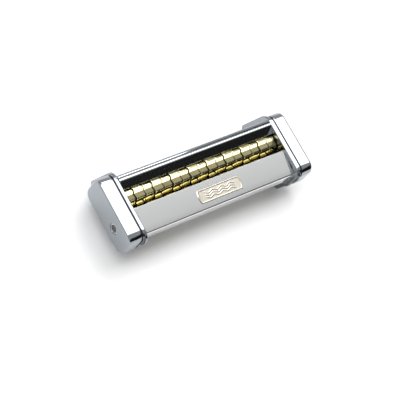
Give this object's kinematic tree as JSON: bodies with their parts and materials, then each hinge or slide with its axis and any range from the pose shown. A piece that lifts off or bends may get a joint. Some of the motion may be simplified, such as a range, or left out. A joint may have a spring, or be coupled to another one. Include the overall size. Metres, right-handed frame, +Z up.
{
  "type": "pasta ribbon cutter attachment",
  "caption": "Slide-on pasta cutter attachment: two geared wavy-edged cutting rollers in a chromed frame with a sloping feed mouth and a crank socket.",
  "frame": {"origin": "middle of the ground under the part, which stands on the lower edges of the tongues of its two inner frames", "axes": "+X along the rollers, away from the crank; +Y from the front panel to the back; +Z up, towards the feed mouth"},
  "size_m": [0.19, 0.0712, 0.042],
  "materials": {
    "chromed_steel": "bright polished chrome",
    "satin_chrome": "bright chrome on sheet, slightly soft",
    "mirror_chrome": "mirror-bright chrome",
    "nickel_plate": null,
    "brass": "turned and polished, pale champagne brass",
    "turned_steel": "turned steel",
    "zinc_steel": "zinc-plated steel",
    "dark_steel": "dark phosphated steel",
    "spring_steel": "blued spring steel",
    "bush_plastic": "natural nylon",
    "comb_plastic": "moulded white plastic"
  },
  "bodies": {
    "frame": {"left_end_cover": "chromed_steel", "right_end_cover": "chromed_steel", "left_bearing_plate": "dark_steel", "right_bearing_plate": "dark_steel", "left_inner_frame": "chromed_steel", "right_inner_frame": "chromed_steel", "front_panel": "satin_chrome", "back_panel": "chromed_steel", "feed_guide": "mirror_chrome", "name_plate": "nickel_plate", "left_front_bush": "bush_plastic", "left_back_bush": "bush_plastic", "right_front_bush": "bush_plastic", "right_back_bush": "bush_plastic", "front_comb": "comb_plastic", "back_comb": "comb_plastic", "front_comb_rod": "turned_steel", "back_comb_rod": "turned_steel", "cover_screws": "zinc_steel"},
    "front_roller": {"front_roller_shaft": "turned_steel", "front_roller_core": "brass", "front_cutting_rings": "brass", "front_gear": "turned_steel", "crank_drive_pin": "turned_steel", "front_shaft_clips": "spring_steel"},
    "back_roller": {"back_roller_shaft": "turned_steel", "back_roller_core": "brass", "back_cutting_rings": "brass", "back_gear": "turned_steel", "back_shaft_clips": "spring_steel"}
  },
  "joints": [
    {"name": "front_roller_spin", "type": "hinge", "parent": "frame", "child": "front_roller", "pos_m": [0, -0.01391, 0.0268], "axis": [1, 0, 0], "continuous": true},
    {"name": "back_roller_spin", "type": "hinge", "parent": "frame", "child": "back_roller", "pos_m": [0, 0.00569, 0.0268], "axis": [1, 0, 0], "continuous": true}
  ],
  "couplings": [
    {"joint": "back_roller_spin", "follows": "front_roller_spin", "ratio": -1}
  ]
}
